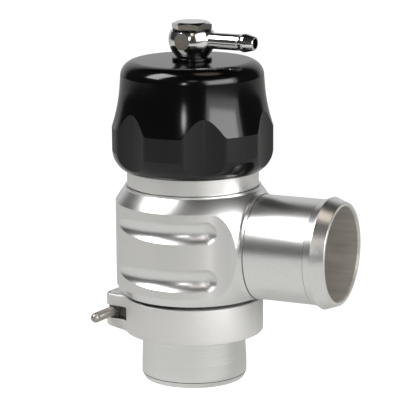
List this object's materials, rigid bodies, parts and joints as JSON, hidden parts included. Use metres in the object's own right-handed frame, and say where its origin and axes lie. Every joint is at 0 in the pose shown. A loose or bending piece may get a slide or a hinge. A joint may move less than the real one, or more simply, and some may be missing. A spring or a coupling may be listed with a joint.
{
  "type": "blow off valve",
  "caption": "Pressure relief valve with a beaded side outlet, clamped inlet spigot, domed grip cap and swivelling barbed hose fitting.",
  "frame": {"origin": "centre of the inlet spigot's rim, on the plane that the valve stands on", "axes": "+Z along the inlet and the piston, towards the cap; +X along the outlet tube, out of its mouth"},
  "size_m": [0.0887, 0.0584, 0.1315],
  "materials": {
    "body_aluminium": "satin, bead blasted",
    "tube_aluminium": "turned, semi bright",
    "clamp_aluminium": "satin",
    "inner_aluminium": "turned",
    "cap_black": "black anodised, glossy",
    "washer_black": "bonded seal, dark",
    "fitting_chrome": "polished plate",
    "screw_steel": "zinc plated",
    "seal_rubber": "matte",
    "spring_steel": "drawn wire"
  },
  "bodies": {
    "housing": {"valve_body": "body_aluminium", "outlet_tube": "tube_aluminium", "inlet_adaptor": "tube_aluminium", "clamp_ring": "clamp_aluminium", "front_barrel_nut": "screw_steel", "rear_barrel": "screw_steel", "clamp_screw": "screw_steel", "base_seal": "seal_rubber", "neck_seal": "seal_rubber", "valve_spring": "spring_steel"},
    "piston_group": {"piston": "inner_aluminium", "lower_piston_seal": "seal_rubber", "upper_piston_seal": "seal_rubber", "seat_seal": "seal_rubber"},
    "spring_carrier": {"spring_seat": "inner_aluminium"},
    "cap_group": {"cap": "cap_black", "banjo_bolt": "fitting_chrome", "lower_washer": "washer_black", "upper_washer": "washer_black"},
    "banjo": {"banjo_fitting": "fitting_chrome"}
  },
  "joints": [
    {"name": "piston_slide", "type": "slide", "parent": "housing", "child": "piston_group", "axis": [0, 0, 1], "range_m": [0, 0.012], "stiffness_N_per_m": 1500, "springref_m": -0.018, "deforming": ["valve_spring"]},
    {"name": "cap_travel", "type": "slide", "parent": "housing", "child": "spring_carrier", "axis": [0, 0, 1], "range_m": [-0.0053, 0.0031], "deforming": ["valve_spring"]},
    {"name": "cap_turn", "type": "hinge", "parent": "spring_carrier", "child": "cap_group", "pos_m": [0, 0, 0.1], "axis": [0, 0, 1], "range_deg": [-1260, 720]},
    {"name": "banjo_swivel", "type": "hinge", "parent": "cap_group", "child": "banjo", "pos_m": [0, 0, 0.12497], "axis": [0, 0, 1], "continuous": true}
  ],
  "couplings": [
    {"joint": "cap_travel", "follows": "cap_turn", "m_per_rad": 0.00023873}
  ]
}
